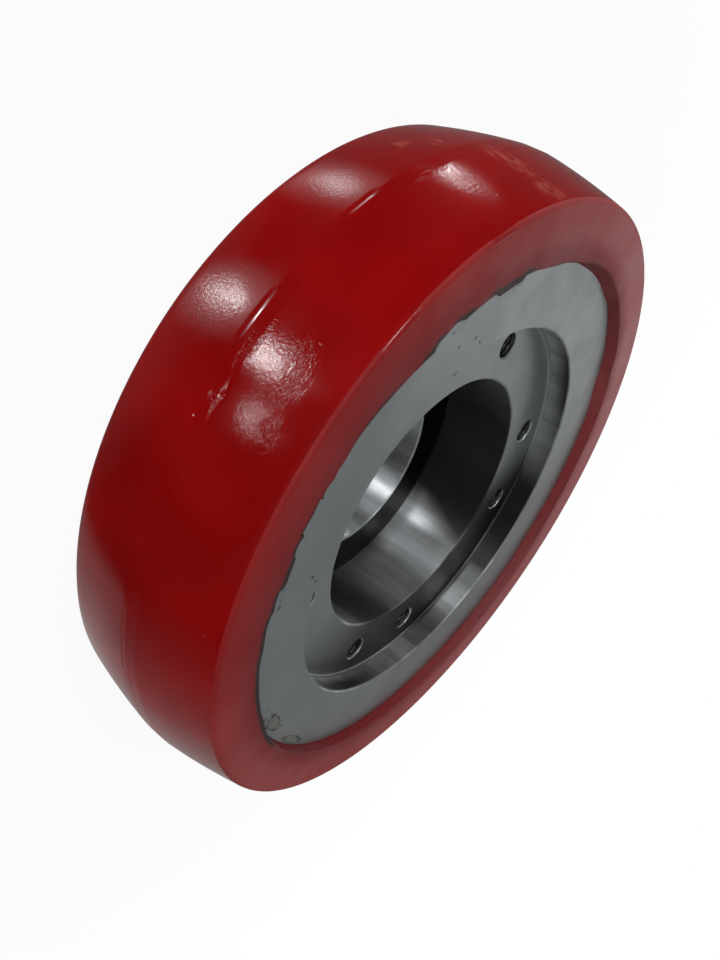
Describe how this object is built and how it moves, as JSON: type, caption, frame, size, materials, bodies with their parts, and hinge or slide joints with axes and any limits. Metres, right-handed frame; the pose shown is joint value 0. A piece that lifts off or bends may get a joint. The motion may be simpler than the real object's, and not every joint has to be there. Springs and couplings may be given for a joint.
{
  "type": "polyurethane roller",
  "caption": "Heavy conveyor roller: a turned steel hub with a cover recess, tapped holes, a bearing seat and a shoulder, inside a crowned, glossy cast polyurethane tread.",
  "frame": {"origin": "centre of the far end of the tread, on the roller's axis, at floor level", "axes": "+Z along the roller's axis, out of the face with the cover recess; +X midway between the two tapped holes of a pair"},
  "size_m": [0.203, 0.203, 0.051],
  "materials": {
    "steel": "turned, satin",
    "polyurethane": "glossy on the tread, satin on the end faces"
  },
  "bodies": {
    "root": {"hub": "steel", "tread": "polyurethane"}
  },
  "joints": []
}
